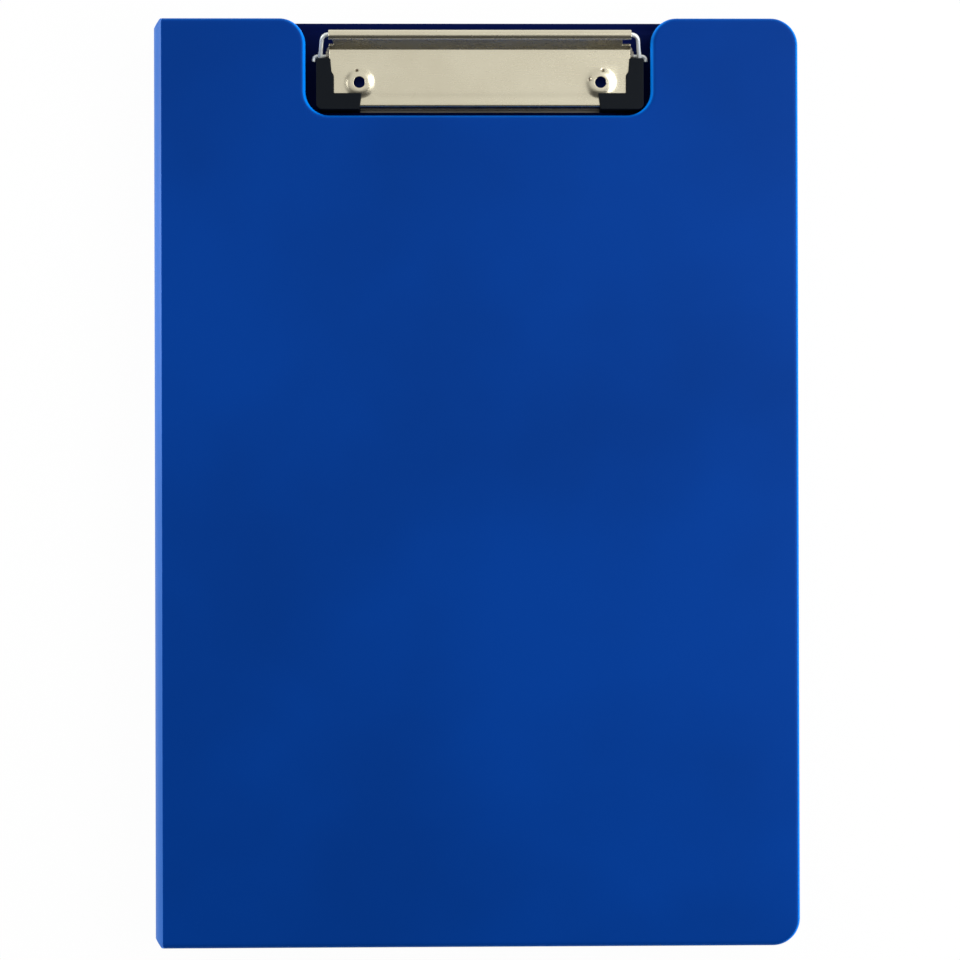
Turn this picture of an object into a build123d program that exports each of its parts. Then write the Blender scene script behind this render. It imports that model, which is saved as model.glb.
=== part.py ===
"""Foldover clipboard: two stiff film-covered panels, a spine and a low sprung clip.

Millimetres. X runs to the right and Y towards the clip as the closed folder is
looked at from the front, Z out of the front cover. The back cover lies on z = 0.
"""

from build123d import *
from math import acos, atan2, cos, pi, radians, sin, sqrt, tan
import os

# Folder: overall size, and the layers of a panel from one face to the other
folder_width = 236.0
folder_length = 340.0
skin = 0.4
board = 2.0
paper_space = 6.5
corner_radius = 10.0
edge_round = 1.8
weld_margin = 2.2

# Living folds along the left side: bare film, and how it stands off its own axis
fold_film = 0.8
fold_clearance = 0.05
fold_land = 0.2
spine_margin = 1.0
nick_across = 2.4
nick_along = 3.5

# Window in the front panel that the clip stands in, open at the top edge
window_width = 126.5
window_depth = 35.6
window_shift = 0.7
window_foot_radius = 8.8
window_mouth_radius = 9.5

# Pocket for loose sheets, welded inside the front panel
pocket_film = 0.3
pocket_lift = 0.3
pocket_weld = 3.0
pocket_height = 150.0
pocket_inset = 8.0
pocket_corner = 6.0

# Clip: plates
clip_shift = 1.4
clip_setback = 3.1
sheet = 0.8
base_sheet = 1.0
base_front_depth = 14.0
base_depth = 24.6
base_lead = 0.7
base_corner = 1.5
clip_side_gap = 3.25
shoulder_step = 2.8
plate_depth = 21.4
jaw_rise = 5.5
bend_radius = 0.6
lip_clearance = 0.05
shoulder_gap = 0.3

# Clip: wall and finger roll behind the plate
wall_angle = 60.0
roll_rise = 3.8
roll_radius = 2.0
roll_turn = 270.0

# Clip: pivot, its ears and lugs, and the heel that stops the jaw wide open
pivot_rise = 3.2
pivot_ahead = 2.06
rod_diameter = 1.3
running = 0.05
ear_radius = 1.9
ear_foot = 3.0
ear_gap = 0.3
jaw_opening = 30.0
heel_angle = 20.0
heel_clearance = 0.05
lug_front = 1.9

# Clip: lever wire through the roll, with an eye on each end of the rod
wire_diameter = 1.44
wire_bend = 2.6
wire_reach = 2.3
eye_stand = 1.46
rod_margin = 0.36
rod_bend = 1.4
rod_tail = 0.6

# Clip: dished access holes over the rivets, and a punch mark beside each
hole_inset = 11.0
hole_setback = 9.0
hole_diameter = 4.1
boss_diameter = 10.2
boss_top_diameter = 6.2
boss_rise = 0.9
mark_diameter = 1.0
mark_depth = 0.25
mark_out = 0.9
mark_up = 4.4

# Rivets and their washers
rivet_bore = 4.2
rivet_wall = 0.45
rivet_head_diameter = 7.4
rivet_head = 0.5
rivet_foot_diameter = 8.0
washer_diameter = 11.0
washer = 0.5
fit = 0.05

# Corner caps slipped over the front corners of the jaw
cap_wall = 0.9
cap_side = 2.0
cap_arm = 6.5
cap_toe = 16.7
cap_toe_depth = 6.0
cap_ledge = 0.9
cap_length = 18.8
cap_under_end = 17.4
cap_corner = 2.2
cap_round = 0.6
cap_slant = 0.9
cap_ground = 0.3

# Torsion spring round the rod
spring_wire = 0.9
spring_radius = 1.45
spring_turns = 8
spring_pitch = 1.4
spring_base_leg = 4.2
spring_jaw_leg = 2.1

# Levels and places worked out from the sizes above
panel = 2 * skin + board
front_under = panel + paper_space
front_top = front_under + panel
left = -folder_width / 2
right = folder_width / 2
top = folder_length / 2
panel_left = left + panel + fold_land
fold_gap = fold_film / 2 + fold_clearance
fold_x = left + fold_film / 2
back_fold_z = fold_film / 2
front_fold_z = front_top - fold_film / 2
film_left = fold_x + fold_gap
spine_bottom = panel + fold_land
spine_top = front_under - fold_land
spine_length = folder_length - 2 * nick_along
window_foot = top - window_depth

tip_half = window_width / 2 - clip_side_gap - cap_side
jaw_half = tip_half - shoulder_step
hole_half_spacing = jaw_half - hole_inset
base_top = panel + base_sheet
lip_front = window_foot + clip_setback
plate_under = base_top + jaw_rise
plate_mid = plate_under + sheet / 2
plate_top = plate_under + sheet
lip_mid = lip_front + sheet / 2
wall_foot = lip_front + plate_depth
pivot_y = wall_foot - pivot_ahead
pivot_z = base_top + pivot_rise
rod_radius = rod_diameter / 2
wire_radius = wire_diameter / 2
roll_mid = roll_radius - sheet / 2
wall_run = (roll_rise + roll_mid * cos(radians(wall_angle))) / sin(radians(wall_angle))
wall_head_y = wall_foot + wall_run * cos(radians(wall_angle))
wall_head_z = plate_mid + wall_run * sin(radians(wall_angle))
roll_y = wall_head_y + roll_mid * sin(radians(wall_angle))
roll_z = wall_head_z - roll_mid * cos(radians(wall_angle))
shoulder_y = pivot_y - ear_radius + shoulder_gap
ear_inner = jaw_half + ear_gap
ear_outer = ear_inner + base_sheet
eye_mid = ear_outer + eye_stand + wire_radius
eye_radius = rod_radius + running + wire_radius
hole_y = lip_front + hole_setback
hole_points = [(clip_shift - hole_half_spacing, hole_y), (clip_shift + hole_half_spacing, hole_y)]


def left_nicks():
    """The two corner nicks at the fold, as one sketch to take away from an outline."""
    with BuildSketch() as nicks:
        for side in (-1, 1):
            with BuildLine():
                Polyline(
                    (left, side * (top - nick_along)),
                    (left + nick_across, side * top),
                    (left, side * top),
                    close=True,
                )
            make_face()
    return nicks.sketch


def back_outline(start, margin):
    """Outline of the back panel from x = start to the right edge, drawn in by margin."""
    with BuildSketch() as outline:
        with Locations(((start + right) / 2, 0)):
            Rectangle(right - start, folder_length)
        fillet(outline.vertices().group_by(Axis.X)[-1], corner_radius)
        add(left_nicks(), mode=Mode.SUBTRACT)
        if margin:
            offset(amount=-margin, mode=Mode.REPLACE)
    return outline.sketch


def front_outline(start, margin):
    """Outline of the front panel with its open window, drawn in by margin."""
    window_left = window_shift - window_width / 2
    window_right = window_shift + window_width / 2
    with BuildSketch() as outline:
        add(back_outline(start, 0))
        with Locations((window_shift, top - window_depth / 2)):
            Rectangle(window_width, window_depth, mode=Mode.SUBTRACT)
        foot = outline.vertices().filter_by(lambda v: abs(v.Y - window_foot) < 0.01)
        fillet(foot, window_foot_radius)
        mouth = outline.vertices().filter_by(
            lambda v: abs(v.Y - top) < 0.01
            and min(abs(v.X - window_left), abs(v.X - window_right)) < 0.01
        )
        fillet(mouth, window_mouth_radius)
        if margin:
            offset(amount=-margin, mode=Mode.REPLACE)
    return outline.sketch


# Back panel

with BuildPart() as back_outer_skin:
    with BuildSketch():
        add(back_outline(film_left, 0))
    extrude(amount=panel)
    rim = back_outer_skin.edges().group_by(Axis.Z)[0]
    fillet(rim.filter_by(lambda e: e.center().X > panel_left), edge_round)
    # bare film only, left of the stiff panel
    with BuildSketch(Plane.XY.offset(fold_film)):
        with Locations(((left + panel_left) / 2, 0)):
            Rectangle(panel_left - left, folder_length + 2 * fit)
    extrude(amount=panel, mode=Mode.SUBTRACT)
    with BuildSketch(Plane.XY.offset(skin)):
        add(back_outline(panel_left, weld_margin))
    extrude(amount=board, mode=Mode.SUBTRACT)
    with BuildSketch(Plane.XY.offset(skin + board)):
        add(back_outline(panel_left, 0))
    extrude(amount=skin, mode=Mode.SUBTRACT)

with BuildPart() as back_board:
    with BuildSketch(Plane.XY.offset(skin)):
        add(back_outline(panel_left, weld_margin))
    extrude(amount=board)
    # stepped seats: washer and rivet foot behind, barrel through
    with BuildSketch(Plane.XY.offset(skin)):
        with Locations(*hole_points):
            Circle(washer_diameter / 2 + fit)
    extrude(amount=fit + rivet_head + washer, mode=Mode.SUBTRACT)
    with BuildSketch(Plane.XY.offset(skin)):
        with Locations(*hole_points):
            Circle(rivet_bore / 2 + rivet_wall + fit)
    extrude(amount=board, mode=Mode.SUBTRACT)

with BuildPart() as back_inner_skin:
    with BuildSketch(Plane.XY.offset(skin + board)):
        add(back_outline(panel_left, 0))
        with Locations(*hole_points):
            Circle(rivet_bore / 2 + rivet_wall + fit, mode=Mode.SUBTRACT)
    extrude(amount=skin)

# Spine

with BuildPart() as spine_outer_skin:
    with BuildSketch(Plane.XY.offset(spine_bottom)):
        with Locations((left + panel / 2, 0)):
            Rectangle(panel, spine_length)
    extrude(amount=spine_top - spine_bottom)
    with BuildSketch(Plane.XY.offset(back_fold_z + fold_gap)):
        with Locations((fold_x, 0)):
            Rectangle(fold_film, spine_length)
    extrude(amount=front_fold_z - back_fold_z - 2 * fold_gap)
    with BuildSketch(Plane.XY.offset(spine_bottom + spine_margin)):
        with Locations((left + skin + board / 2, 0)):
            Rectangle(board, spine_length - 2 * weld_margin)
    extrude(amount=spine_top - spine_bottom - 2 * spine_margin, mode=Mode.SUBTRACT)
    with BuildSketch(Plane.XY.offset(spine_bottom)):
        with Locations((left + panel - skin / 2, 0)):
            Rectangle(skin, spine_length)
    extrude(amount=spine_top - spine_bottom, mode=Mode.SUBTRACT)

with BuildPart() as spine_board:
    with BuildSketch(Plane.XY.offset(spine_bottom + spine_margin)):
        with Locations((left + skin + board / 2, 0)):
            Rectangle(board, spine_length - 2 * weld_margin)
    extrude(amount=spine_top - spine_bottom - 2 * spine_margin)

with BuildPart() as spine_inner_skin:
    with BuildSketch(Plane.XY.offset(spine_bottom)):
        with Locations((left + panel - skin / 2, 0)):
            Rectangle(skin, spine_length)
    extrude(amount=spine_top - spine_bottom)

# Front panel

with BuildPart() as front_outer_skin:
    with BuildSketch(Plane.XY.offset(front_under)):
        add(front_outline(film_left, 0))
    extrude(amount=panel)
    rim = front_outer_skin.edges().group_by(Axis.Z)[-1]
    fillet(rim.filter_by(lambda e: e.center().X > panel_left), edge_round)
    with BuildSketch(Plane.XY.offset(front_under)):
        with Locations(((left + panel_left) / 2, 0)):
            Rectangle(panel_left - left, folder_length + 2 * fit)
    extrude(amount=panel - fold_film, mode=Mode.SUBTRACT)
    with BuildSketch(Plane.XY.offset(front_under + skin)):
        add(front_outline(panel_left, weld_margin))
    extrude(amount=board, mode=Mode.SUBTRACT)
    with BuildSketch(Plane.XY.offset(front_under)):
        add(front_outline(panel_left, 0))
    extrude(amount=skin, mode=Mode.SUBTRACT)

with BuildPart() as front_board:
    with BuildSketch(Plane.XY.offset(front_under + skin)):
        add(front_outline(panel_left, weld_margin))
    extrude(amount=board)

with BuildPart() as front_inner_skin:
    with BuildSketch(Plane.XY.offset(front_under)):
        add(front_outline(panel_left, 0))
    extrude(amount=skin)

with BuildPart() as front_pocket:
    pocket_bottom = front_under - pocket_lift - pocket_film
    pocket_width = right - panel_left - 2 * pocket_inset
    pocket_middle = (-top + pocket_inset + pocket_height / 2)
    with BuildSketch(Plane.XY.offset(pocket_bottom)):
        with Locations(((panel_left + right) / 2, pocket_middle)):
            RectangleRounded(pocket_width, pocket_height, pocket_corner)
    extrude(amount=pocket_film + pocket_lift)
    # the weld runs round three sides, and the mouth faces the clip
    with BuildSketch(Plane.XY.offset(pocket_bottom + pocket_film)):
        with Locations(((panel_left + right) / 2, pocket_middle + pocket_weld)):
            Rectangle(pocket_width - 2 * pocket_weld, pocket_height)
    extrude(amount=pocket_lift, mode=Mode.SUBTRACT)

# Clip: what is fixed to the back panel

with BuildPart() as clip_base_plate:
    base_front = lip_front - base_lead
    with BuildSketch(Plane.XY.offset(panel)) as base_plan:
        with Locations((clip_shift, base_front + base_front_depth / 2)):
            Rectangle(2 * tip_half, base_front_depth)
        with Locations((clip_shift, base_front + base_depth / 2)):
            Rectangle(2 * ear_outer, base_depth)
        fillet(base_plan.vertices().group_by(Axis.Y)[0], base_corner)
        fillet(base_plan.vertices().group_by(Axis.Y)[-1], base_corner)
        with Locations(*hole_points):
            Circle(rivet_bore / 2 + rivet_wall + fit, mode=Mode.SUBTRACT)
    extrude(amount=base_sheet)
    for side in (-1, 1):
        ear_mid = clip_shift + side * (ear_inner + ear_outer) / 2
        with BuildSketch(Plane.YZ.offset(ear_mid)):
            with BuildLine():
                Polyline(
                    (pivot_y - ear_foot, panel),
                    (pivot_y + ear_foot, panel),
                    (pivot_y + ear_radius, pivot_z),
                    (pivot_y - ear_radius, pivot_z),
                    close=True,
                )
            make_face()
            with Locations((pivot_y, pivot_z)):
                Circle(ear_radius)
                Circle(rod_radius + running, mode=Mode.SUBTRACT)
        extrude(amount=base_sheet / 2, both=True)

with BuildPart() as clip_rivets:
    barrel_radius = rivet_bore / 2 + rivet_wall
    foot_level = skin + fit
    with BuildSketch(Plane.XY.offset(foot_level)):
        with Locations(*hole_points):
            Circle(rivet_foot_diameter / 2)
    extrude(amount=rivet_head)
    with BuildSketch(Plane.XY.offset(foot_level)):
        with Locations(*hole_points):
            Circle(barrel_radius)
    extrude(amount=base_top + rivet_head - foot_level)
    with BuildSketch(Plane.XY.offset(base_top)):
        with Locations(*hole_points):
            Circle(rivet_head_diameter / 2)
    extrude(amount=rivet_head)
    fillet(clip_rivets.edges().group_by(Axis.Z)[-1], 0.6 * rivet_head)
    # hollow from the foot up to the closed head
    with BuildSketch(Plane.XY.offset(foot_level)):
        with Locations(*hole_points):
            Circle(rivet_bore / 2)
    extrude(amount=base_top - foot_level, mode=Mode.SUBTRACT)

with BuildPart() as rivet_washers:
    with BuildSketch(Plane.XY.offset(skin + fit + rivet_head)):
        with Locations(*hole_points):
            Circle(washer_diameter / 2)
            Circle(rivet_bore / 2 + rivet_wall + fit, mode=Mode.SUBTRACT)
    extrude(amount=washer)

with BuildPart() as pivot_rod:
    rod_turn = eye_mid + wire_radius + rod_margin
    with BuildLine() as rod_path:
        tail_left = Line(
            (clip_shift - rod_turn - rod_bend, pivot_y - rod_bend - rod_tail, pivot_z),
            (clip_shift - rod_turn - rod_bend, pivot_y - rod_bend, pivot_z),
        )
        bend_left = TangentArc(
            tail_left @ 1, (clip_shift - rod_turn, pivot_y, pivot_z), tangent=tail_left % 1
        )
        straight = Line(bend_left @ 1, (clip_shift + rod_turn, pivot_y, pivot_z))
        bend_right = TangentArc(
            straight @ 1,
            (clip_shift + rod_turn + rod_bend, pivot_y - rod_bend, pivot_z),
            tangent=straight % 1,
        )
        Line(bend_right @ 1, bend_right @ 1 - Vector(0, rod_tail, 0))
    with BuildSketch(Plane(origin=rod_path.line @ 0, z_dir=rod_path.line % 0)):
        Circle(rod_radius)
    sweep(path=rod_path.line)

# Clip: the jaw

with BuildPart() as jaw_plate:
    with BuildSketch(Plane.YZ.offset(clip_shift)) as jaw_section:
        with BuildLine() as jaw_line:
            Polyline(
                (lip_mid, base_top + lip_clearance),
                (lip_mid, plate_mid),
                (wall_foot, plate_mid),
                (wall_head_y, wall_head_z),
            )
            fillet(jaw_line.vertices().sort_by(Axis.Y)[1:3], bend_radius)
            CenterArc((roll_y, roll_z), roll_mid, 90 + wall_angle, -roll_turn)
        trace(line_width=sheet)
    extrude(amount=tip_half, both=True)
    # behind the shoulders the plate is only as wide as the roll
    for side in (-1, 1):
        with BuildSketch(Plane.XY.offset(base_top)):
            with Locations((clip_shift + side * (jaw_half + tip_half), shoulder_y + plate_depth)):
                Rectangle(2 * tip_half, 2 * plate_depth)
        extrude(amount=2 * (roll_z - base_top), mode=Mode.SUBTRACT)
    # lugs turned down on to the rod, each with a heel that meets the base at full opening
    heel_radius = (pivot_rise - heel_clearance) / sin(radians(heel_angle + jaw_opening))
    heel_y = pivot_y + heel_radius * cos(radians(heel_angle))
    heel_z = pivot_z - heel_radius * sin(radians(heel_angle))
    for side in (-1, 1):
        with BuildSketch(Plane.YZ.offset(clip_shift + side * (jaw_half - sheet / 2))):
            with BuildLine():
                Polyline(
                    (pivot_y - lug_front, plate_mid),
                    (wall_foot, plate_mid),
                    (heel_y, heel_z),
                    (pivot_y, pivot_z - lug_front),
                    (pivot_y - lug_front, pivot_z),
                    close=True,
                )
            make_face()
            with Locations((pivot_y, pivot_z)):
                Circle(lug_front)
                Circle(rod_radius + running, mode=Mode.SUBTRACT)
        extrude(amount=sheet / 2, both=True)
    # raised rings round the two access holes
    slope = atan2(boss_rise, (boss_diameter - boss_top_diameter) / 2)
    inset = sheet * tan(slope / 2)
    with BuildSketch(Plane.XY.offset(plate_under)):
        with Locations(*hole_points):
            Circle(boss_diameter / 2)
    extrude(amount=sheet, mode=Mode.SUBTRACT)
    for side in (-1, 1):
        ring_plane = Plane(
            origin=(clip_shift + side * hole_half_spacing, hole_y, plate_under),
            x_dir=(1, 0, 0),
            z_dir=(0, -1, 0),
        )
        with BuildSketch(ring_plane) as ring:
            with BuildLine():
                Polyline(
                    (hole_diameter / 2, boss_rise),
                    (boss_top_diameter / 2 - inset, boss_rise),
                    (boss_diameter / 2 - inset, 0),
                    (boss_diameter / 2 + sheet, 0),
                    (boss_diameter / 2 + sheet, sheet),
                    (boss_diameter / 2, sheet),
                    (boss_top_diameter / 2, boss_rise + sheet),
                    (hole_diameter / 2, boss_rise + sheet),
                    close=True,
                )
            make_face()
        revolve(axis=Axis((clip_shift + side * hole_half_spacing, hole_y, 0), (0, 0, 1)))
    # punch mark on the slope of each ring
    mark_ball = (mark_diameter**2 / 4 + mark_depth**2) / (2 * mark_depth)
    mark_reach = sqrt(mark_out**2 + mark_up**2)
    mark_level = plate_top + boss_rise * (boss_diameter / 2 - mark_reach) / (
        (boss_diameter - boss_top_diameter) / 2
    )
    for side in (-1, 1):
        mark_x = clip_shift + side * (hole_half_spacing + mark_out)
        with Locations((mark_x, hole_y + mark_up, mark_level + mark_ball - mark_depth)):
            Sphere(mark_ball, mode=Mode.SUBTRACT)

with BuildPart() as lever_wire:
    slack = roll_radius - sheet - wire_radius - running
    wire_y = roll_y + slack * sin(radians(45))
    wire_z = roll_z + slack * sin(radians(45))
    # the arm runs down to touch the eye's own circle on the clip's front side
    drop_angle = atan2(wire_z - pivot_z, wire_y - pivot_y)
    drop = sqrt((wire_z - pivot_z) ** 2 + (wire_y - pivot_y) ** 2)
    touch = drop_angle + acos(eye_radius / drop)
    touch_y = pivot_y + eye_radius * cos(touch)
    touch_z = pivot_z + eye_radius * sin(touch)
    with BuildLine() as wire_path:
        FilletPolyline(
            (clip_shift - eye_mid, touch_y, touch_z),
            (clip_shift - jaw_half - wire_reach, wire_y, wire_z),
            (clip_shift + jaw_half + wire_reach, wire_y, wire_z),
            (clip_shift + eye_mid, touch_y, touch_z),
            radius=wire_bend,
        )
    with BuildSketch(Plane(origin=wire_path.line @ 0, z_dir=wire_path.line % 0)):
        Circle(wire_radius)
    sweep(path=wire_path.line)
    for side in (-1, 1):
        with Locations(Location((clip_shift + side * eye_mid, pivot_y, pivot_z), (0, 90, 0))):
            Torus(eye_radius, wire_radius)

with BuildPart() as corner_cap_left:
    cap_outer = clip_shift - tip_half - cap_side
    cap_front = lip_front - cap_wall
    cap_top = plate_top + cap_wall
    with BuildSketch(Plane.XY.offset(plate_under - cap_ledge)) as cap_plan:
        with BuildLine():
            Polyline(
                (cap_outer, cap_front),
                (cap_outer + cap_toe - cap_slant, cap_front),
                (cap_outer + cap_toe, cap_front + cap_toe_depth),
                (cap_outer + cap_arm, cap_front + cap_toe_depth),
                (cap_outer + cap_arm, cap_front + cap_length),
                (cap_outer, cap_front + cap_length),
                close=True,
            )
        make_face()
        fillet(cap_plan.vertices().sort_by(Axis.X)[:2].sort_by(Axis.Y)[0], cap_corner)
        fillet(cap_plan.vertices().group_by(Axis.Y)[-1], cap_round)
    extrude(amount=cap_top - plate_under + cap_ledge)
    # skirt that wraps the turned-down lip
    skirt_depth = 2 * cap_wall + sheet
    with BuildSketch(Plane.XY.offset(base_top + cap_ground)) as skirt_plan:
        with BuildLine():
            Polyline(
                (cap_outer, cap_front),
                (cap_outer + cap_toe - cap_slant, cap_front),
                (cap_outer + cap_toe - cap_slant, cap_front + skirt_depth),
                (cap_outer, cap_front + skirt_depth),
                close=True,
            )
        make_face()
        fillet(skirt_plan.vertices().sort_by(Axis.X)[:2].sort_by(Axis.Y)[0], cap_corner)
    extrude(amount=plate_under - base_top - cap_ground)
    fillet(corner_cap_left.edges().group_by(Axis.Z)[-1], cap_round)
    # slots for the plate and its lip
    with BuildSketch(Plane.XY.offset(plate_under - fit)):
        with Locations((clip_shift, lip_front + plate_depth / 2)):
            Rectangle(2 * (tip_half + fit), plate_depth + 2 * fit)
    extrude(amount=sheet + 2 * fit, mode=Mode.SUBTRACT)
    with BuildSketch(Plane.XY.offset(base_top)):
        with Locations((clip_shift, lip_front + sheet / 2)):
            Rectangle(2 * (tip_half + fit), sheet + 2 * fit)
    extrude(amount=plate_top - base_top, mode=Mode.SUBTRACT)
    # clear of the rod's eye and ear
    with BuildSketch(Plane.XY.offset(base_top)):
        with Locations((cap_outer + cap_arm / 2, cap_front + cap_under_end + cap_arm)):
            Rectangle(3 * cap_arm, 2 * cap_arm)
    extrude(amount=jaw_rise, mode=Mode.SUBTRACT)
    add(jaw_plate.part, mode=Mode.SUBTRACT)

with BuildPart() as corner_cap_right:
    mirror(corner_cap_left.part, about=Plane.YZ.offset(clip_shift))

# Clip: torsion spring


def coil_point(angle, advance):
    """A point on the coil's mid line, its angle measured from the rear over the top."""
    return Vector(
        advance,
        pivot_y + spring_radius * cos(angle),
        pivot_z + spring_radius * sin(angle),
    )


def coil_tangent(angle, advance_rate):
    """Unit direction of the coil's mid line as its angle falls."""
    return Vector(
        advance_rate, spring_radius * sin(angle), -spring_radius * cos(angle)
    ).normalized()


def least_gap(points, wire, apart):
    """Least clear distance between stretches that lie further than apart along the wire."""
    run = [0.0]
    for before, after in zip(points, points[1:]):
        run.append(run[-1] + (after - before).length)
    least = float("inf")
    for i, one in enumerate(points):
        for j in range(i + 1, len(points)):
            if run[j] - run[i] > apart:
                least = min(least, (points[j] - one).length)
    return least - wire


with BuildPart() as torsion_spring:
    base_end = (spring_base_leg, base_top + running + spring_wire / 2 - pivot_z)
    jaw_end = (spring_jaw_leg, plate_under - running - spring_wire / 2 - pivot_z)
    base_reach = sqrt(base_end[0] ** 2 + base_end[1] ** 2)
    jaw_reach = sqrt(jaw_end[0] ** 2 + jaw_end[1] ** 2)
    start = atan2(base_end[1], base_end[0]) - acos(spring_radius / base_reach)
    finish = atan2(jaw_end[1], jaw_end[0]) + acos(spring_radius / jaw_reach)
    finish -= 2 * pi * spring_turns
    quarters = 4 * spring_turns
    step = (finish - start) / quarters
    rate = spring_pitch / (2 * pi)
    coil_length = rate * (start - finish)
    coil_start = clip_shift - coil_length / 2
    corners = [
        (coil_point(start + i * step, coil_start - rate * i * step),
         coil_tangent(start + i * step, rate))
        for i in range(quarters + 1)
    ]
    base_run = sqrt(base_reach**2 - spring_radius**2)
    jaw_run = sqrt(jaw_reach**2 - spring_radius**2)
    with BuildLine() as coil_path:
        Line(corners[0][0] - corners[0][1] * base_run, corners[0][0])
        for (here, leaving), (there, arriving) in zip(corners, corners[1:]):
            # two arcs that share a tangent where they meet
            chord = there - here
            lean = chord.dot(leaving + arriving)
            spread = 2 * (1 - leaving.dot(arriving))
            reach = (sqrt(lean**2 + spread * chord.dot(chord)) - lean) / spread
            first = here + leaving * reach
            last = there - arriving * reach
            middle = (first + last) * 0.5
            TangentArc(here, middle, tangent=leaving)
            TangentArc(middle, there, tangent=last - first)
        Line(corners[-1][0], corners[-1][0] + corners[-1][1] * jaw_run)
    with BuildSketch(Plane(origin=coil_path.line @ 0, z_dir=coil_path.line % 0)):
        Circle(spring_wire / 2)
    sweep(path=coil_path.line)

coil_samples = [coil_path.line @ (i / 900) for i in range(901)]
coil_gap = least_gap(coil_samples, spring_wire, 1.5 * spring_radius * pi)
print(f"spring: least gap to itself {coil_gap:.2f} mm")
print(f"paper space {paper_space:.1f} mm, jaw clear height {jaw_rise:.1f} mm")

# Write every piece

pieces = {
    "back_outer_skin": back_outer_skin,
    "back_board": back_board,
    "back_inner_skin": back_inner_skin,
    "spine_outer_skin": spine_outer_skin,
    "spine_board": spine_board,
    "spine_inner_skin": spine_inner_skin,
    "front_outer_skin": front_outer_skin,
    "front_board": front_board,
    "front_inner_skin": front_inner_skin,
    "front_pocket": front_pocket,
    "clip_base_plate": clip_base_plate,
    "clip_rivets": clip_rivets,
    "rivet_washers": rivet_washers,
    "pivot_rod": pivot_rod,
    "jaw_plate": jaw_plate,
    "lever_wire": lever_wire,
    "corner_cap_left": corner_cap_left,
    "corner_cap_right": corner_cap_right,
    "torsion_spring": torsion_spring,
}
os.makedirs("parts", exist_ok=True)
for piece_name, piece in pieces.items():
    piece.part.label = piece_name
    export_step(piece.part, f"parts/{piece_name}.step")
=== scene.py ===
"""Dressed scene of a foldover clipboard: film panels, living folds and a sprung clip.

The CAD frame is in metres. Sizes in this file are millimetres unless they say
otherwise, and become metres where a mesh is made.
"""

import logging
import math
from dataclasses import dataclass, field, replace
from enum import Enum
from functools import cached_property
from typing import Any, Callable, Iterable, Sequence

import bmesh
import bpy
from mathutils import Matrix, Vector


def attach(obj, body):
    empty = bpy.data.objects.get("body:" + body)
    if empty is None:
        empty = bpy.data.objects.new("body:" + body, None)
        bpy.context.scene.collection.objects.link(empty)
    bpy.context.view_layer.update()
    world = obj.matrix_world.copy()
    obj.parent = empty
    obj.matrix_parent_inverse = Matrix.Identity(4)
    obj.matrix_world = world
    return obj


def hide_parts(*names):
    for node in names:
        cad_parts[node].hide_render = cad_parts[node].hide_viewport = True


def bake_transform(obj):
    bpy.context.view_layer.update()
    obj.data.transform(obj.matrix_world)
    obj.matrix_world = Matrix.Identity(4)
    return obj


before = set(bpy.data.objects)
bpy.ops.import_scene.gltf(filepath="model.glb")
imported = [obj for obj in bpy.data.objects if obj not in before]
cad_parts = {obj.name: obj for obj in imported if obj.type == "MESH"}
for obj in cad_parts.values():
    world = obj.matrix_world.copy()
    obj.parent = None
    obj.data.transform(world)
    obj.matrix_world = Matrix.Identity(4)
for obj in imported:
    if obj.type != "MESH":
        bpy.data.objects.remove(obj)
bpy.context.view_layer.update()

MM = 0.001
log = logging.getLogger("clipboard")

Point2 = tuple[float, float]
Point3 = tuple[float, float, float]
Pair = tuple[float, float]
Colour = tuple[float, float, float, float]

WHITE: Colour = (1.0, 1.0, 1.0, 1.0)
BLACK: Colour = (0.0, 0.0, 0.0, 1.0)


class Body(str, Enum):
    """The rigid bodies of the frame."""

    BACK = "back"
    SPINE = "spine"
    COVER = "cover"
    JAW = "jaw"


class Slot(str, Enum):
    """The record's material slots of the new pieces."""

    BLUE_FILM = "blue_film"
    LINING = "navy_lining"
    POCKET = "pocket_film"
    NICKEL = "nickel_sheet"
    WIRE = "bright_wire"
    SPRING = "spring_steel"
    RIVET = "navy_rivet"
    CAP = "black_cap"


def srgb(*levels: int) -> Colour:
    """Turns a display colour into a linear one.

    Args:
        levels: Red, green and blue, 0 to 255.

    Returns:
        The linear colour with full alpha.
    """
    shares = [level / 255 for level in levels]
    return (*(s / 12.92 if s <= 0.04045 else ((s + 0.055) / 1.055) ** 2.4 for s in shares), 1.0)


def scaled(colour: Colour, factor: float) -> Colour:
    """Returns a colour made that much brighter, its alpha kept."""
    return (*(min(1.0, part * factor) for part in colour[:3]), 1.0)


# Shader maths and finishes


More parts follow.
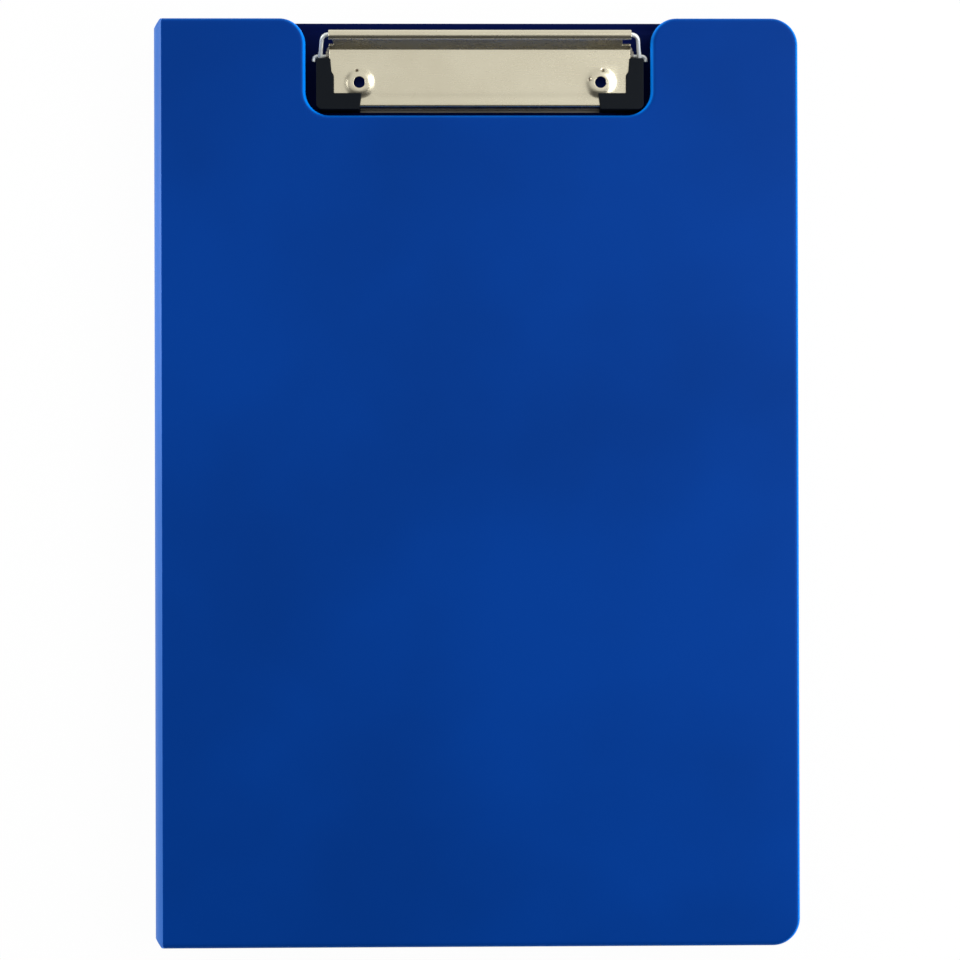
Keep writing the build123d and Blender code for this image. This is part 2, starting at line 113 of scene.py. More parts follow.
class Value:
    """A node's output that takes part in Python arithmetic."""

    def __init__(self, graph: "Graph", socket: bpy.types.NodeSocket | None) -> None:
        """Keeps the output and the graph that it belongs to."""
        self.graph = graph
        self.socket = socket

    def math(self, operation: str, *others: "Value | float", clamp: bool = False) -> "Value":
        """Adds one Math node.

        Args:
            operation: The Math node's operation.
            others: The second and third inputs, as values or numbers.
            clamp: Whether the result is held between 0 and 1.

        Returns:
            The node's output.
        """
        settings = {"operation": operation, "use_clamp": clamp}
        return self.graph.node("Math", settings, [self, *others])

    def __add__(self, other: "Value | float") -> "Value":
        """Returns the sum."""
        return self.math("ADD", other)

    def __sub__(self, other: "Value | float") -> "Value":
        """Returns the difference."""
        return self.math("SUBTRACT", other)

    def __rsub__(self, other: float) -> "Value":
        """Returns the difference from a number."""
        return self.graph.node("Math", {"operation": "SUBTRACT"}, [other, self])

    def __mul__(self, other: "Value | float") -> "Value":
        """Returns the product."""
        return self.math("MULTIPLY", other)

    __radd__ = __add__
    __rmul__ = __mul__

    def clamp(self) -> "Value":
        """Returns the value held between 0 and 1."""
        return self.math("ADD", 0.0, clamp=True)

    def smooth(self, low: float, high: float) -> "Value":
        """Returns a smooth step from 0 at low to 1 at high."""
        settings = {"interpolation_type": "SMOOTHSTEP", "clamp": True}
        return self.graph.node("MapRange", settings, {"Value": self, "From Min": low, "From Max": high})

    def swing(self, span: float) -> "Value":
        """Returns a share from 0 to 1 as a swing about 0, of that whole span."""
        return (self - 0.5) * span


@dataclass(frozen=True)
class Noise:
    """Fractal noise: cells per metre, octaves, roughness and the stretch of each axis."""

    scale: float
    detail: float = 3.0
    rough: float = 0.5
    stretch: Point3 = (1.0, 1.0, 1.0)


class Graph:
    """The node tree of one material or of the world."""

    EDGE_SAMPLES = 4
    EDGE_TURN = (0.002, 0.08)  # 1 less the cosine of the normal's turn, from no edge to edge
    RIM_LEAN = (0.02, 0.36)  # 1 less the normal's upward part, from flat to standing
    RIM_SIDE = (0.1, 0.6)  # the normal's sideways part, from head and foot edges to side edges
    RIM_HEAD = 0.3  # what head and foot edges keep of the painted highlight
    MIX_INPUTS = (0, 6, 7)  # a Mix node's factor and its two colours
    MIX_RESULT = 2

    def __init__(self, owner: bpy.types.Material | bpy.types.World) -> None:
        """Empties the owner's tree and keeps it."""
        self.owner = owner
        owner.use_nodes = True
        self.tree = owner.node_tree
        self.tree.nodes.clear()

    def node(self, kind: str, settings: dict[str, Any] | None = None,
             inputs: dict[str | int, Any] | Sequence[Any] = (), output: str | int | None = 0) -> Value:
        """Adds one node.

        Args:
            kind: The node's type, as it goes on after ShaderNode.
            settings: Properties, set before the inputs.
            inputs: Values or links, by socket name or in order.
            output: The output that is wanted, or None for a node that has none.

        Returns:
            That output.
        """
        made = self.tree.nodes.new("ShaderNode" + kind)
        for key, value in (settings or {}).items():
            setattr(made, key, value)
        for key, value in inputs.items() if isinstance(inputs, dict) else enumerate(inputs):
            if isinstance(value, Value):
                self.tree.links.new(value.socket, made.inputs[key])
            else:
                made.inputs[key].default_value = value
        return Value(self, None if output is None else made.outputs[output])

    @cached_property
    def place(self) -> Value:
        """Returns the point on the piece, in metres of the shared frame."""
        return self.node("TexCoord", output="Object")

    def axis(self, vector: Value, name: str) -> Value:
        """Returns a vector's X, Y or Z."""
        return self.node("SeparateXYZ", {}, [vector], name)

    def noise(self, grain: Noise) -> Value:
        """Returns that noise over the piece, between 0 and 1."""
        point = self.node("VectorMath", {"operation": "MULTIPLY"}, [self.place, grain.stretch])
        return self.node("TexNoise", {}, {"Vector": point, "Scale": grain.scale, "Detail": grain.detail,
                                          "Roughness": grain.rough})

    def blend(self, factor: Value | float, first: Value | Colour, second: Value | Colour) -> Value:
        """Returns a colour between two colours."""
        settings = {"data_type": "RGBA", "blend_type": "MIX", "clamp_factor": True}
        inputs = dict(zip(self.MIX_INPUTS, (factor, first, second)))
        return self.node("Mix", settings, inputs, self.MIX_RESULT)

    def edges(self, radius: float) -> Value:
        """Finds edges, by how far a rounded normal turns from the face's own.

        Args:
            radius: How far from an edge the normal is rounded.

        Returns:
            1 on edges and near 0 on flat faces.
        """
        bevel = self.node("Bevel", {"samples": self.EDGE_SAMPLES}, {"Radius": radius * MM})
        normal = self.node("NewGeometry", output="Normal")
        turned = self.node("VectorMath", {"operation": "DOT_PRODUCT"}, [bevel, normal], "Value")
        return (1.0 - turned).smooth(*self.EDGE_TURN)

    def rim(self) -> Value:
        """Finds faces that stand, in the piece's own frame.

        Returns:
            0 on faces that lie flat, 1 on side edges, and less on the head and foot edges: a mask for
            painted highlight, as the lamps stand to the sides.
        """
        normal = self.node("TexCoord", output="Normal")
        upright, sideways = (self.axis(normal, name).math("ABSOLUTE") for name in "ZX")
        side = sideways.smooth(*self.RIM_SIDE) * (1 - self.RIM_HEAD) + self.RIM_HEAD
        return (1.0 - upright).smooth(*self.RIM_LEAN) * side

    def bump(self, height: Value, depth: float) -> Value:
        """Returns a normal bumped by a height, whose full range is depth millimetres."""
        return self.node("Bump", {}, {"Height": height, "Distance": depth * MM, "Strength": 1.0})

    def principled(self, **inputs: Any) -> bpy.types.Material:
        """Ends the graph in a Principled surface with those inputs, underscores for spaces."""
        named = {key.replace("_", " "): value for key, value in inputs.items()}
        return self.show(self.node("BsdfPrincipled", {}, named))

    def show(self, surface: Value, output: str = "OutputMaterial") -> Any:
        """Links a surface to the owner's output and returns the owner."""
        self.node(output, {}, {"Surface": surface}, None)
        return self.owner


@dataclass(frozen=True)
class Finish:
    """What every finish has: a name, a colour, and a second colour: real stains, flecks and flow marks, and
    the painted highlight along edges.
    """

    name: str
    colour: Colour
    stain_and_highlight: Colour

    def graph(self) -> Graph:
        """Returns the graph of a new material of that name."""
        return Graph(bpy.data.materials.new(self.name))


@dataclass(frozen=True)
class FilmFinish(Finish):
    """Calendered PVC film with a fine matte grain, paler at its edges and side rims: a painted highlight
    where the rounded edges catch the side lamps.
    """

    roughness: float = 0.42
    specular: float = 0.22
    grain: float = 0.012
    rim_highlight: float = 0.2
    mottle: float = 0.10
    edge: float = 0.6
    cloud: Noise = Noise(9.0)
    pebble: Noise = Noise(1700.0, 2.0, 0.6)
    drift: Noise = Noise(60.0, 4.0, 0.55)
    scuff: Noise = Noise(60.0, 2.0, stretch=(14.0, 1.0, 14.0))
    cloud_band: Pair = (0.3, 0.7)
    scuff_band: Pair = (0.62, 0.8)
    edge_highlight: float = 0.25
    drift_rough: float = 0.12
    pebble_rough: float = 0.10
    scuff_smooth: float = 0.05
    edge_rough: float = 0.08
    pebble_share: float = 0.8

    def material(self) -> bpy.types.Material:
        """Mixes the film.

        Returns:
            Its material.
        """
        graph = self.graph()
        cloud, pebble, drift = (graph.noise(grain) for grain in (self.cloud, self.pebble, self.drift))
        scuff = graph.noise(self.scuff).smooth(*self.scuff_band)
        dark, light = (scaled(self.colour, 1 + self.mottle * side) for side in (-1, 1))
        body = graph.blend(cloud.smooth(*self.cloud_band), dark, light)
        edge = graph.edges(self.edge)
        # Painted highlight: edges and side rims turn towards the paler second colour, where the rounded
        # edges catch the side lamps.
        base = graph.blend((edge * self.edge_highlight + graph.rim() * self.rim_highlight).clamp(), body, self.stain_and_highlight)
        rough = self.roughness + drift.swing(self.drift_rough) + pebble.swing(self.pebble_rough)
        rough = rough - scuff * self.scuff_smooth + edge * self.edge_rough
        relief = pebble * self.pebble_share + drift * (1 - self.pebble_share)
        return graph.principled(Base_Color=base, Roughness=rough, Specular_IOR_Level=self.specular,
                                Normal=graph.bump(relief, self.grain))


@dataclass(frozen=True)
class BoardFinish(Finish):
    """Grey bookbinding board, felted and speckled."""

    roughness: float = 0.82
    specular: float = 0.2
    grain: float = 0.04
    felt: Noise = Noise(420.0, 5.0, 0.7, (1.0, 6.0, 1.0))
    fleck: Noise = Noise(900.0, 1.0)
    fleck_band: Pair = (0.66, 0.74)
    fleck_share: float = 0.7
    felt_rough: float = 0.14

    def material(self) -> bpy.types.Material:
        """Mixes the board.

        Returns:
            Its material.
        """
        graph = self.graph()
        fibre = graph.noise(self.felt)
        flecks = graph.noise(self.fleck).smooth(*self.fleck_band) * self.fleck_share
        base = graph.blend(flecks, graph.blend(fibre, self.colour, self.stain_and_highlight), self.stain_and_highlight)
        return graph.principled(Base_Color=base, Roughness=self.roughness + fibre * self.felt_rough,
                                Specular_IOR_Level=self.specular, Normal=graph.bump(fibre, self.grain))


@dataclass(frozen=True)
class MetalFinish(Finish):
    """Plated or bare metal with a drawn or tumbled surface, with a painted highlight along its edges."""

    roughness: float = 0.3
    grain: float = 0.003
    drawn: Point3 = (1.0, 1.0, 1.0)
    metallic: float = 1.0
    edge: float = 0.25
    painted_edge_gain: float = 1.15
    line: Noise = Noise(900.0, 3.0, 0.6)
    haze: Noise = Noise(45.0, 4.0, 0.6)
    spot: Noise = Noise(320.0, 2.0)
    haze_band: Pair = (0.35, 0.75)
    spot_band: Pair = (0.66, 0.78)
    haze_stain: float = 0.35
    spot_stain: float = 0.25
    edge_bright: float = 0.5
    line_rough: float = 0.07
    haze_rough: float = 0.08
    spot_rough: float = 0.05
    edge_smooth: float = 0.05

    def material(self) -> bpy.types.Material:
        """Mixes the metal.

        Returns:
            Its material.
        """
        graph = self.graph()
        lines = graph.noise(replace(self.line, stretch=self.drawn))
        haze = graph.noise(self.haze)
        spots = graph.noise(self.spot).smooth(*self.spot_band)
        edge = graph.edges(self.edge)
        stain = (haze.smooth(*self.haze_band) * self.haze_stain + spots * self.spot_stain).clamp()
        base = graph.blend(stain, self.colour, self.stain_and_highlight)
        # Painted highlight: the colour is lightened along edges.
        base = graph.blend(edge * self.edge_bright, base, scaled(self.colour, self.painted_edge_gain))
        rough = self.roughness + lines.swing(self.line_rough) + haze.swing(self.haze_rough)
        rough = rough + spots * self.spot_rough - edge * self.edge_smooth
        return graph.principled(Base_Color=base, Metallic=self.metallic, Roughness=rough.clamp(),
                                Normal=graph.bump(lines, self.grain))


@dataclass(frozen=True)
class CapFinish(Finish):
    """Moulded black plastic with a spark-eroded texture and a painted highlight along its edges."""

    roughness: float = 0.56
    specular: float = 0.06
    grain: float = 0.02
    edge: float = 0.35
    spark: Noise = Noise(2600.0, 2.0, 0.7)
    flow: Noise = Noise(90.0, stretch=(1.0, 3.0, 1.0))
    edge_highlight: float = 0.6
    flow_pale: float = 0.2
    spark_rough: float = 0.2
    flow_rough: float = 0.12
    edge_smooth: float = 0.08

    def material(self) -> bpy.types.Material:
        """Mixes the plastic.

        Returns:
            Its material.
        """
        graph = self.graph()
        spark, flow = graph.noise(self.spark), graph.noise(self.flow)
        edge = graph.edges(self.edge)
        # Painted highlight along edges, with real flow marks.
        pale = (edge * self.edge_highlight + flow * self.flow_pale).clamp()
        base = graph.blend(pale, self.colour, self.stain_and_highlight)
        rough = self.roughness + spark.swing(self.spark_rough) + flow.swing(self.flow_rough)
        rough = rough - edge * self.edge_smooth
        return graph.principled(Base_Color=base, Roughness=rough, Specular_IOR_Level=self.specular,
                                Normal=graph.bump(spark, self.grain))


class Finishes:
    """Every finish of the object, mixed once."""

    def __init__(self) -> None:
        """Mixes them all."""
        # The second blue is the painted highlight on the film's edges and side rims.
        blue = {"colour": srgb(0, 55, 139), "stain_and_highlight": srgb(0, 134, 252),
                "roughness": 0.47, "specular": 0.045, "grain": 0.010}
        across = (0.15, 1.0, 1.0)
        self.blue_film = FilmFinish("blue_film", **blue, rim_highlight=1.0).material()
        self.spine = FilmFinish("spine_film", **blue, rim_highlight=0.08).material()
        # The fold's paler blues are a painted highlight: the light that the rounded fold catches.
        self.fold = FilmFinish("fold_film", srgb(66, 124, 220), srgb(100, 152, 232),
                               roughness=0.4, specular=0.2, grain=0.006).material()
        self.lining = FilmFinish("navy_lining", srgb(3, 15, 66), srgb(12, 32, 96),
                                 roughness=0.6, specular=0.03, grain=0.02).material()
        self.pocket = FilmFinish("pocket_film", srgb(10, 26, 78), srgb(28, 50, 120),
                                 roughness=0.35, specular=0.3, grain=0.006).material()
        self.greyboard = BoardFinish("greyboard", srgb(128, 122, 112), srgb(84, 80, 74)).material()
        self.nickel = MetalFinish("nickel_sheet", srgb(218, 211, 187), srgb(200, 191, 166),
                                  roughness=0.27, grain=0.0007, drawn=across).material()
        self.base = MetalFinish("base_steel", srgb(146, 142, 134), srgb(116, 111, 102),
                                roughness=0.36, grain=0.0012, drawn=across).material()
        self.wire = MetalFinish("bright_wire", srgb(236, 240, 238), srgb(214, 216, 212), roughness=0.42,
                                grain=0.002, drawn=(0.3, 1.0, 1.0), metallic=0.45).material()
        self.spring = MetalFinish("spring_steel", srgb(150, 150, 150), srgb(104, 98, 90)).material()
        self.rivet = FilmFinish("navy_rivet", srgb(14, 52, 158), srgb(30, 70, 170),
                                roughness=0.4, specular=0.1, grain=0.004).material()
        self.cap = CapFinish("black_cap", srgb(15, 19, 24), srgb(32, 36, 42)).material()
        # Painted shade: the punch marks' faces take a darker steel colour, for the shade in the pits.
        self.punch_mark_shade = MetalFinish("punch_mark_painted_shade", srgb(120, 108, 92), srgb(80, 70, 58),
                                   roughness=0.5, grain=0.004).material()


# Mesh making


def arc(centre: Point2, radius: float, start: float, end: float, steps: int) -> list[Point2]:
    """Returns points on an arc, both ends included, from angles in degrees and a number of chords."""
    turns = [math.radians(start + (end - start) * index / steps) for index in range(steps + 1)]
    return [(centre[0] + radius * math.cos(turn), centre[1] + radius * math.sin(turn)) for turn in turns]


def rounded(corners: Sequence[Point3], steps: int = 8) -> list[Point2]:
    """Rounds the corners of a closed outline.

    Args:
        corners: Each corner's x, y and radius, in order round the outline.
        steps: Chords in each rounded corner.

    Returns:
        The outline's points.
    """
    points: list[Point2] = []
    for index, (x, y, radius) in enumerate(corners):
        if radius <= 0:
            points.append((x, y))
            continue
        here = Vector((x, y))
        before = (Vector(corners[index - 1][:2]) - here).normalized()
        after = (Vector(corners[(index + 1) % len(corners)][:2]) - here).normalized()
        half = before.angle(after) / 2
        reach = radius / math.tan(half)
        middle = here + (before + after).normalized() * (radius / math.sin(half))
        first = here + before * reach - middle
        last = here + after * reach - middle
        begin = math.degrees(math.atan2(first.y, first.x))
        points += arc(middle, radius, begin, begin - math.degrees(first.angle_signed(last)), steps)
    return points


def inset(points: Sequence[Point2], margin: float, least: float = 0.5) -> list[Point2]:
    """Moves a closed anticlockwise outline inwards, point by point.

    Args:
        points: The outline.
        margin: How far it moves.
        least: The least squared lean of two sides, which holds back needle corners.

    Returns:
        The moved outline.
    """
    moved = []
    for index, place in enumerate(points):
        here = Vector(place)
        one = (here - Vector(points[index - 1])).normalized()
        two = (Vector(points[(index + 1) % len(points)]) - here).normalized()
        lean = Vector((-one.y - two.y, one.x + two.x))
        moved.append(tuple(here + lean * (margin * 2 / max(lean.length_squared, least))))
    return moved


def cone_rise(share: float, ease: float) -> float:
    """Gives the rise of a pressed cone, its slope straight between two eased ends.

    Args:
        share: The way from the cone's foot to its head, 0 to 1.
        ease: The share of the way that each end takes to turn.

    Returns:
        The share of the whole rise.
    """
    if share < ease:
        return share * share / (2 * ease * (1 - ease))
    if share > 1 - ease:
        return 1 - (1 - share) ** 2 / (2 * ease * (1 - ease))
    return (share - ease / 2) / (1 - ease)


def bent(corners: Sequence[Point3], radius: float, steps: int = 10) -> list[Point3]:
    """Rounds the corners of an open wire path.

    Args:
        corners: The path's ends and corners.
        radius: The bends' radius.
        steps: Chords in each bend.

    Returns:
        The path's points.
    """
    points = [corners[0]]
    for before, corner, after in zip(corners, corners[1:], corners[2:]):
        here = Vector(corner)
        back, ahead = ((Vector(other) - here).normalized() for other in (before, after))
        half = back.angle(ahead) / 2
        middle = here + (back + ahead).normalized() * (radius / math.sin(half))
        first, last = (here + way * (radius / math.tan(half)) - middle for way in (back, ahead))
        sweep = first.angle(last)
        for step in range(steps + 1):
            shares = (1 - step / steps, step / steps)
            one, two = (math.sin(share * sweep) / math.sin(sweep) for share in shares)
            points.append(tuple(middle + first * one + last * two))
    return [*points, corners[-1]]


class Maker:
    """Builds one mesh object from rings and faces given in millimetres."""

    WELD = 1e-7  # metres

    def __init__(self, name: str) -> None:
        """Starts an empty mesh of that name."""
        self.name = name
        self.mesh = bmesh.new()
        self.shared: dict[Any, bmesh.types.BMVert] = {}

    def ring(self, points: Iterable[Point3]) -> list[bmesh.types.BMVert]:
        """Adds a row of vertices."""
        return [self.mesh.verts.new(Vector(p) * MM) for p in points]

    def vertex(self, key: Any, point: Point3) -> bmesh.types.BMVert:
        """Returns the vertex of that key, made at the point where it is new."""
        if key not in self.shared:
            self.shared[key] = self.ring([point])[0]
        return self.shared[key]

    def face(self, ring: Sequence[bmesh.types.BMVert]) -> bmesh.types.BMFace:
        """Adds one face."""
        return self.mesh.faces.new(ring)

    def bridge(self, first: Sequence[Any], second: Sequence[Any], closed: bool = True) -> None:
        """Joins two rows of vertices with quads.

        Args:
            first: One row.
            second: The other, as long.
            closed: Whether the rows are rings.
        """
        for index in range(len(first) if closed else len(first) - 1):
            after = (index + 1) % len(first)
            self.face((first[index], first[after], second[after], second[index]))

    def loft(self, rings: Sequence[Sequence[Any]], looped: bool = False) -> None:
        """Joins rings in turn into a closed skin.

        Args:
            rings: The rings, all as long.
            looped: Whether the last ring joins the first, where each end else gets a face.
        """
        for first, second in zip(rings, rings[1:]):
            self.bridge(first, second)
        if looped:
            self.bridge(rings[-1], rings[0])
        else:
            self.face(rings[0])
            self.face(rings[-1])

    def plate(self, outline: Sequence[Point2], levels: Sequence[Pair],
              square_at: float | None = None) -> None:
        """Adds a closed slab from an outline.

        Args:
            outline: The outline seen from above.
            levels: Height and inward margin of each ring, from face to face.
            square_at: The x of a side that isn't drawn in.
        """
        rings = []
        for height, margin in levels:
            shape = [(was[0] if was[0] == square_at else x, y)
                     for was, (x, y) in zip(outline, inset(outline, margin))]
            rings.append(self.ring((x, y, height) for x, y in shape))
        self.loft(rings)

    def side_plate(self, outline: Sequence[Point2], first: float, last: float) -> None:
        """Adds a plate that stands upright, from its side view of y and z between two x."""
        self.loft([self.ring((x, y, z) for y, z in outline) for x in (first, last)])

    def push(self, faces: list[bmesh.types.BMFace], rise: float, keep: bool = False) -> None:
        """Pushes faces up and walls the way that they leave.

        Args:
            faces: The faces.
            rise: How far up they go, or down below 0.
            keep: Whether faces also stay where these were.
        """
        grown = bmesh.ops.extrude_face_region(self.mesh, geom=faces, use_keep_orig=keep)["geom"]
        moved = [part for part in grown if isinstance(part, bmesh.types.BMVert)]
        bmesh.ops.translate(self.mesh, verts=moved, vec=(0, 0, rise * MM))

    def tube(self, path: Sequence[Point3], radius: float, sides: int = 16, looped: bool = False) -> None:
        """Adds a round bar along a path.

        Args:
            path: Points on the bar's mid line.
            radius: The bar's radius.
            sides: Facets round it.
            looped: Whether the last point joins the first.
        """
        points = [Vector(p) for p in path]
        end = len(points) - 1
        turns = [2 * math.pi * step / sides for step in range(sides)]
        rings = []
        up = None
        for index, here in enumerate(points):
            before = points[index - 1 if looped or index else 0]
            after = points[(index + 1) % len(points) if looped else min(index + 1, end)]
            along = (after - before).normalized()
            up = along.orthogonal().normalized() if up is None else up
            up = (up - along * up.dot(along)).normalized()
            side = along.cross(up)
            rings.append(self.ring(here + (up * math.cos(t) + side * math.sin(t)) * radius for t in turns))
        self.loft(rings, looped)

    def lathe(self, centre: Point2, profile: Sequence[Point2], looped: bool, sides: int = 48) -> None:
        """Adds a turned form.

        Args:
            centre: Where its axis stands.
            profile: Profile of radius and height, radius above 0.
            looped: Whether the profile's end joins its start, where each end else gets a disc.
            sides: Facets round it.
        """
        rings = []
        for radius, height in profile:
            rings.append(self.ring((x, y, height) for x, y in arc(centre, radius, 0, 360, sides)[:-1]))
        self.loft(rings, looped)

    def make(self, material: bpy.types.Material, crease: float = 35.0) -> bpy.types.Object:
        """Ends the mesh.

        Args:
            material: What it is made of.
            crease: Edges sharper than this many degrees stay sharp.

        Returns:
            The new object.
        """
        bmesh.ops.remove_doubles(self.mesh, verts=self.mesh.verts, dist=self.WELD)
        bmesh.ops.recalc_face_normals(self.mesh, faces=self.mesh.faces)
        data = bpy.data.meshes.new(self.name)
        self.mesh.to_mesh(data)
        self.mesh.free()
        data.materials.append(material)
        data.shade_smooth()
        data.set_sharp_from_angle(angle=math.radians(crease))
        piece = bpy.data.objects.new(self.name, data)
        bpy.context.scene.collection.objects.link(piece)
        return piece


def modify(piece: bpy.types.Object, name: str, kind: str, **settings: Any) -> None:
    """Adds a modifier.

    Args:
        piece: The piece that it changes.
        name: The modifier's name.
        kind: Its type.
        settings: Its properties.
    """
    made = piece.modifiers.new(name, kind)
    for key, value in settings.items():
        setattr(made, key, value)


def bevel(piece: bpy.types.Object, width: float, segments: int, limit: float) -> None:
    """Rounds a piece's edges that are sharper than a limit in degrees."""
    modify(piece, "edge_round", "BEVEL", width=width * MM, segments=segments, limit_method="ANGLE",
           angle_limit=math.radians(limit), harden_normals=True)


def settle(piece: bpy.types.Object, body: Body, slot: Slot, *nodes: str) -> None:
    """Sets a piece on its body in place of CAD nodes.

    Args:
        piece: The new piece.
        body: The body that it rides on.
        slot: Not used.
        nodes: CAD nodes that it stands for.
    """
    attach(piece, body.value)
    if nodes:
        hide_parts(*nodes)
    log.info("%s on %s", piece.name, body.value)


def redress(node: str, material: bpy.types.Material) -> None:
    """Gives a CAD node that stays a finished material.

    Args:
        node: The node's name.
        material: Its finish.
    """
    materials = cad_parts[node].data.materials
    materials.clear()
    materials.append(material)
    log.info("%s keeps its shape", node)


# The folder


@dataclass
class Folder:
    """The two panels, the spine and the folds between them."""

    finishes: Finishes
    left: float = -118.0
    right: float = 118.0
    top: float = 170.0
    panel_left: float = -115.0
    thick: float = 2.8
    lining: float = 0.4
    cover_under: float = 9.3
    corner: float = 10.0
    corner_steps: int = 16
    edge: float = 2.0
    edge_step: int = 10
    edge_loop: float = 0.6
    ease: float = 0.1
    ease_loop: float = 0.4
    window_left: float = -62.55
    window_right: float = 63.95
    window_foot: float = 134.4
    foot_radius: float = 8.8
    mouth_radius: float = 9.5
    spine_foot: float = 3.0
    spine_head: float = 9.1
    spine_seams: tuple[Pair, ...] = ((4.1, 4.7), (7.4, 8.0))
    spine_slope: float = 0.2
    fold_radius: float = 3.0
    fold_film: float = 0.8
    fold_turn: float = 40.0
    fold_steps: int = 12
    nick_across: float = 2.6
    nick_along: float = 3.0
    fold_short: float = 0.5
    seam: tuple[float, float, float, float, float] = (1.5, 1.8, 3.4, 3.8, 4.4)
    seam_depth: float = 0.18
    pocket_inset: float = 8.0
    pocket_height: float = 150.0
    pocket_corner: float = 6.0
    pocket_film: float = 0.3
    pocket_rows: tuple[Pair, ...] = ((0.0, 0.0), (2.2, 0.0), (2.6, 0.1), (3.1, 0.25), (3.6, 0.3), (4.4, 0.3))
    pocket_ease: float = 0.6
    notch_radius: float = 14.0
    notch_up: float = 4.0
    notch_steps: int = 24

    def outline(self, body: Body) -> list[Point2]:
        """Draws a panel, anticlockwise.

        Args:
            body: The panel's body. The cover has the clip's window.

        Returns:
            The outline's points.
        """
        window = [
            (self.window_right, self.top, self.mouth_radius),
            (self.window_right, self.window_foot, self.foot_radius),
            (self.window_left, self.window_foot, self.foot_radius),
            (self.window_left, self.top, self.mouth_radius),
        ]
        return rounded([
            (self.panel_left, -self.top, 0), (self.right, -self.top, self.corner),
            (self.right, self.top, self.corner), *(window if body is Body.COVER else []),
            (self.panel_left, self.top, 0),
        ], self.corner_steps)

    def skin_levels(self, inside: float, outside: float) -> list[Pair]:
        """Lays out a skin's rings: an eased inner edge and a rounded outer one.

        Args:
            inside: Height of the face that lies on the board.
            outside: Height of the face that shows.

        Returns:
            Height and margin of each ring, from the underside to the top.
        """
        face = 1 if outside > inside else -1
        turns = [math.radians(angle) for angle in range(0, 91, self.edge_step)]
        rim = [(self.edge * math.sin(turn), self.edge * (1 - math.cos(turn))) for turn in turns]
        rim.append((self.edge, self.edge + self.edge_loop))
        levels = [(inside, self.ease_loop), (inside, self.ease), (inside + face * self.ease, 0.0)]
        levels += [(outside - face * (self.edge - rise), margin) for rise, margin in rim]
        return levels[::face]

    def spine_half(self) -> float:
        """Returns half of the spine's length."""
        return self.top - self.fold_short - self.nick_along

    def build(self) -> None:
        """Builds and dresses the panels, the spine and the folds."""
        for body, node, inside, outside in (
            (Body.COVER, "front_outer_skin", self.cover_under + self.lining, self.cover_under + self.thick),
            (Body.BACK, "back_outer_skin", self.thick - self.lining, 0.0),
        ):
            made = Maker(body.value + "_skin")
            made.plate(self.outline(body), self.skin_levels(inside, outside), self.panel_left)
            settle(made.make(self.finishes.blue_film), body, Slot.BLUE_FILM, node)
        spine = Maker("spine_skin")
        half, inner = self.spine_half(), self.left + self.thick - self.lining
        spine.plate([(self.left, -half), (inner, -half), (inner, half), (self.left, half)],
                    [(self.spine_foot, 0.0), (self.spine_head, 0.0)])
        settle(spine.make(self.finishes.spine), Body.SPINE, Slot.BLUE_FILM, "spine_outer_skin")
        self.fold("cover_fold_film", self.spine_head, 1, Body.COVER)
        self.fold("back_fold_film", self.spine_foot, -1, Body.BACK)
        self.linings()
        self.pocket()
        for node in ("back_board", "front_board", "spine_board"):
            redress(node, self.finishes.greyboard)

    def seam_levels(self, inside: float, face: int) -> list[Pair]:
        """Lays out a lining's rings, with the pressed weld seam near its edge.

        Args:
            inside: Height of the face that lies on the board.
            face: 1 for a lining that shows its top, -1 for one that shows its underside.

        Returns:
            Height and margin of each ring.
        """
        shown = inside + face * self.lining
        pressed = shown - face * self.seam_depth
        heights = (shown, pressed, pressed, shown, shown)
        return [(inside, 0.0), (shown - face * self.ease, 0.0), (shown, self.ease), *zip(heights, self.seam)]

    def linings(self) -> None:
        """Builds the linings of the panels and the spine."""
        for body, node, inside, face in (
            (Body.BACK, "back_inner_skin", self.thick - self.lining, 1),
            (Body.COVER, "front_inner_skin", self.cover_under + self.lining, -1),
        ):
            made = Maker(body.value + "_lining")
            made.plate(self.outline(body), self.seam_levels(inside, face))
            settle(made.make(self.finishes.lining), body, Slot.LINING, node)
        spine = Maker("spine_lining")
        half, inner = self.spine_half(), self.left + self.thick
        levels = [(self.spine_foot, 0.0)]
        for low, high in self.spine_seams:
            levels += [(low - self.spine_slope, 0.0), (low, self.seam_depth)]
            levels += [(high, self.seam_depth), (high + self.spine_slope, 0.0)]
        levels.append((self.spine_head, 0.0))
        spine.loft([spine.ring([(inner - depth, -half, z), (inner - depth, half, z),
                                (inner - self.lining, half, z), (inner - self.lining, -half, z)])
                    for z, depth in levels])
        settle(spine.make(self.finishes.lining), Body.SPINE, Slot.LINING, "spine_inner_skin")

    def pocket(self) -> None:
        """Builds the sheet pocket inside the cover, welded on three sides, with a thumb notch."""
        left, right = self.panel_left + self.pocket_inset, self.right - self.pocket_inset
        foot = -self.top + self.pocket_inset
        mouth = foot + self.pocket_height
        weld = self.cover_under - self.pocket_film / 2
        made = Maker("pocket_sheet")
        rows = []
        for margin, drop in self.pocket_rows:
            corner = self.pocket_corner - margin * self.pocket_ease
            outline = rounded([(left + margin, mouth, 0), (left + margin, foot + margin, corner),
                               (right - margin, foot + margin, corner), (right - margin, mouth, 0)])
            rows.append(made.ring((x, y, weld - drop) for x, y in outline))
        for first, second in zip(rows, rows[1:]):
            made.bridge(first, second, closed=False)
        middle = ((left + right) / 2, mouth + self.notch_up)
        sweep = math.degrees(math.acos(self.notch_up / self.notch_radius))
        notch = arc(middle, self.notch_radius, -90 + sweep, -90 - sweep, self.notch_steps)
        made.face(rows[-1] + made.ring((x, y, weld - self.pocket_film) for x, y in notch))
        piece = made.make(self.finishes.pocket)
        modify(piece, "film", "SOLIDIFY", thickness=self.pocket_film * MM, offset=0.0)
